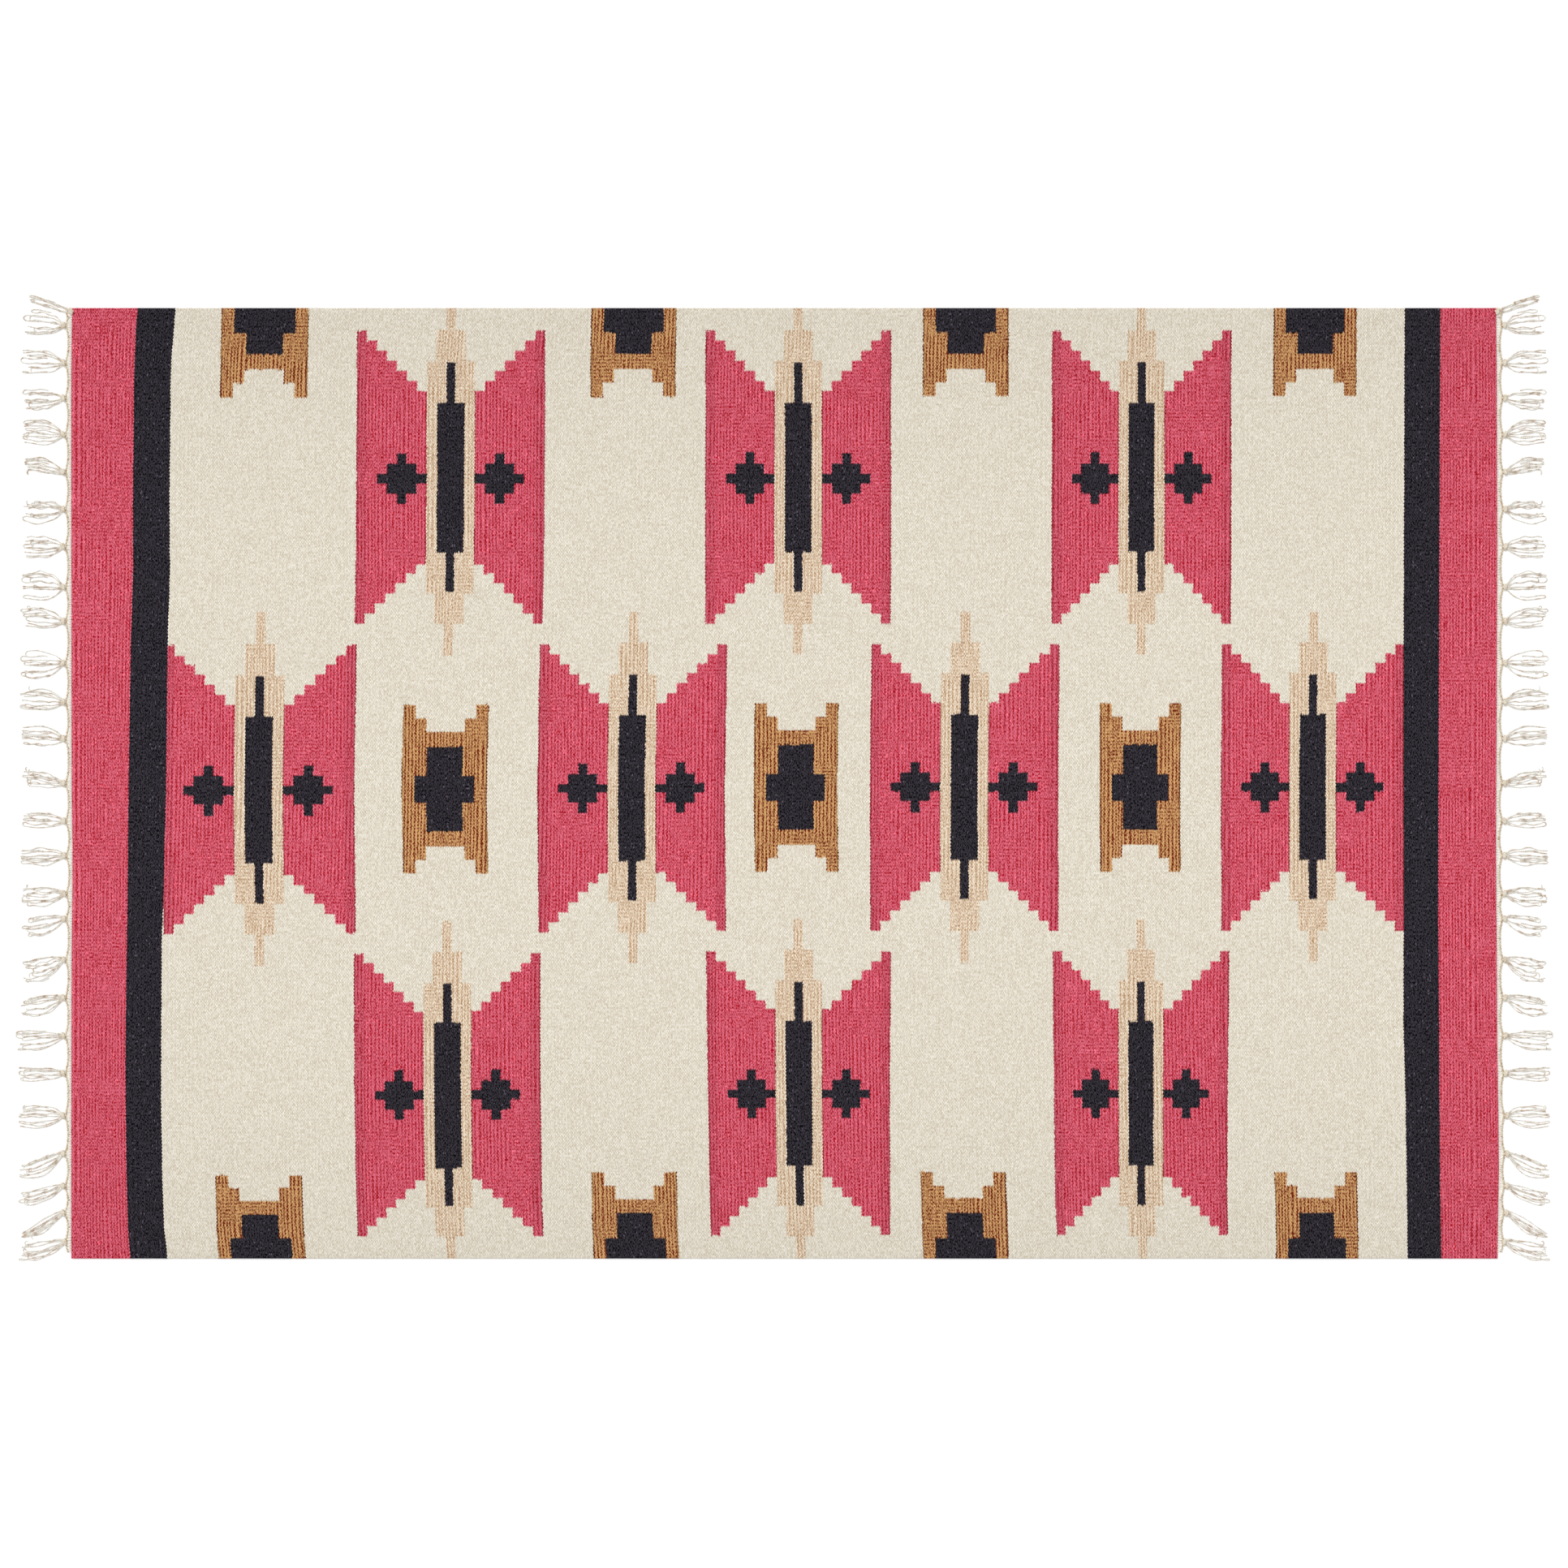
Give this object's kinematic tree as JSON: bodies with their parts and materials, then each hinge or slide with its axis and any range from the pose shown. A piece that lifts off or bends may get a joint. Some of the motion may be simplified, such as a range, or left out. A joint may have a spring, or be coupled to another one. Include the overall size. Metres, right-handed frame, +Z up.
{
  "type": "kilim rug",
  "caption": "Large rectangular flat-woven cotton rug with stepped and crossed geometric motifs, striped ends and a knotted fringe along each short end, lying flat.",
  "frame": {"origin": "middle of the cloth's underside, on the floor", "axes": "+X along the rug's length, +Y across its width, +Z up out of its face"},
  "size_m": [3.2258, 2.0518, 0.0085],
  "materials": {
    "woven_cloth": "matt weft-faced plain weave in chunky cotton: cream ground with rose pink, near-black, tan and brown areas",
    "warp_fringe": "undyed off-white cotton warp strands, gathered, knotted and cut"
  },
  "bodies": {
    "root": {"cloth": "woven_cloth", "fringe_left": "warp_fringe", "fringe_right": "warp_fringe"}
  },
  "joints": []
}
